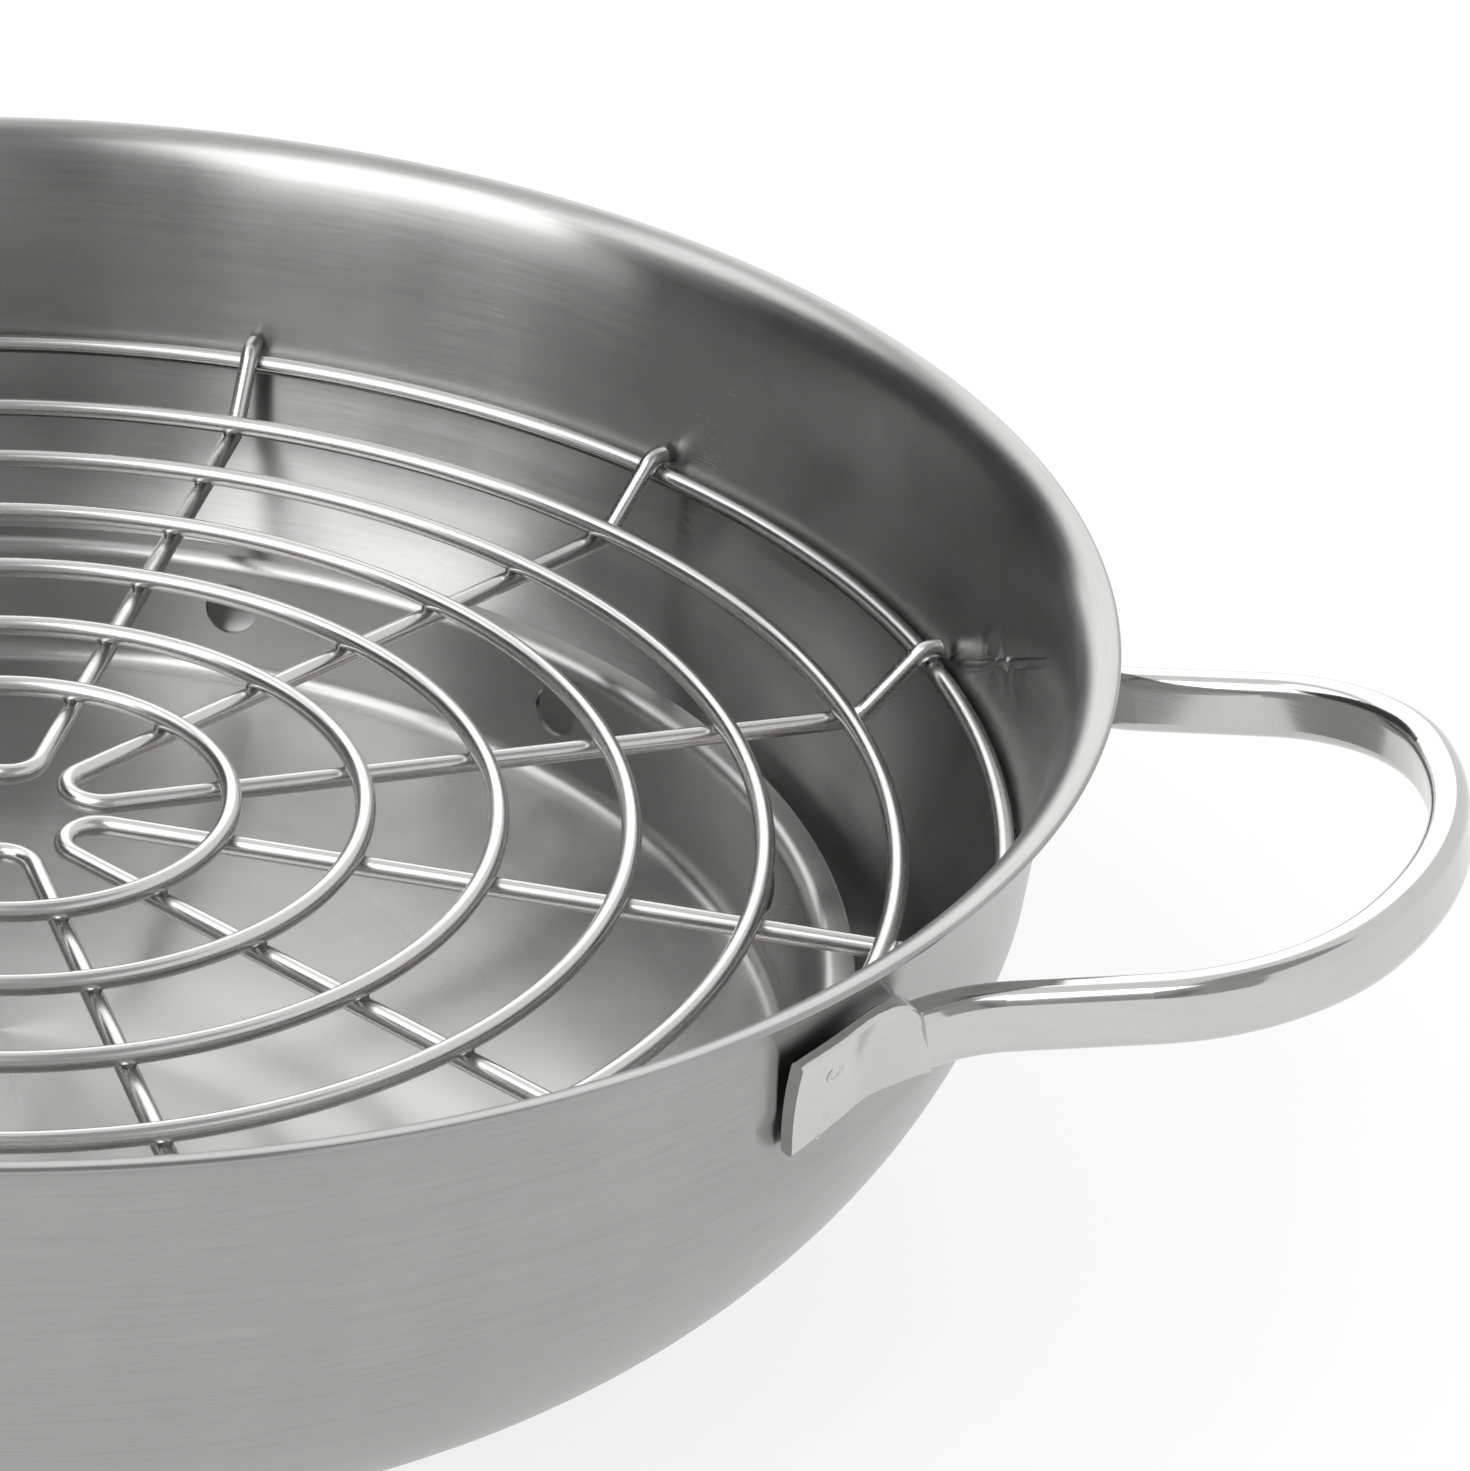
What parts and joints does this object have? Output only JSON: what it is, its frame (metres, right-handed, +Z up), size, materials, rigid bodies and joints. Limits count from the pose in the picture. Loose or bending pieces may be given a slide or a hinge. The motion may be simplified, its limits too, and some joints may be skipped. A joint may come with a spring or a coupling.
{
  "type": "stovetop smoker pan",
  "caption": "Round stovetop smoker pan: flared steel bowl on a thick heat-spreading base, looped side handles, a lift-out drip tray with smoke holes and a lift-out wire rack.",
  "frame": {"origin": "middle of the base's underside, where the pan stands on the hob", "axes": "+Z up through the middle of the bowl, +X towards one handle, -X towards the other"},
  "size_m": [0.384, 0.2902, 0.0893],
  "materials": {
    "bowl_steel": "stainless steel brushed in rings, satin",
    "core_aluminium": "plain aluminium disc, closed in",
    "cap_steel": "stainless steel turned in fine rings",
    "handle_steel": "polished stainless bar",
    "tray_steel": "bright pressed stainless sheet",
    "wire_steel": "bright polished wire"
  },
  "bodies": {
    "pan": {"pan_shell": "bowl_steel", "base_core": "core_aluminium", "base_cap": "cap_steel", "handle_right": "handle_steel", "handle_left": "handle_steel"},
    "tray": {"drip_tray": "tray_steel"},
    "rack": {"rack_ring_1": "wire_steel", "rack_ring_2": "wire_steel", "rack_ring_3": "wire_steel", "rack_ring_4": "wire_steel", "rack_ring_5": "wire_steel", "rack_ring_6": "wire_steel", "rack_ring_7": "wire_steel", "rack_hairpin_1": "wire_steel", "rack_hairpin_2": "wire_steel", "rack_hairpin_3": "wire_steel", "rack_hairpin_4": "wire_steel", "rack_hairpin_5": "wire_steel", "rack_hairpin_6": "wire_steel"}
  },
  "joints": [
    {"name": "tray_lift", "type": "slide", "parent": "pan", "child": "tray", "axis": [0, 0, 1], "range_m": [0, 0.1]},
    {"name": "rack_lift", "type": "slide", "parent": "tray", "child": "rack", "axis": [0, 0, 1], "range_m": [0, 0.1]}
  ]
}
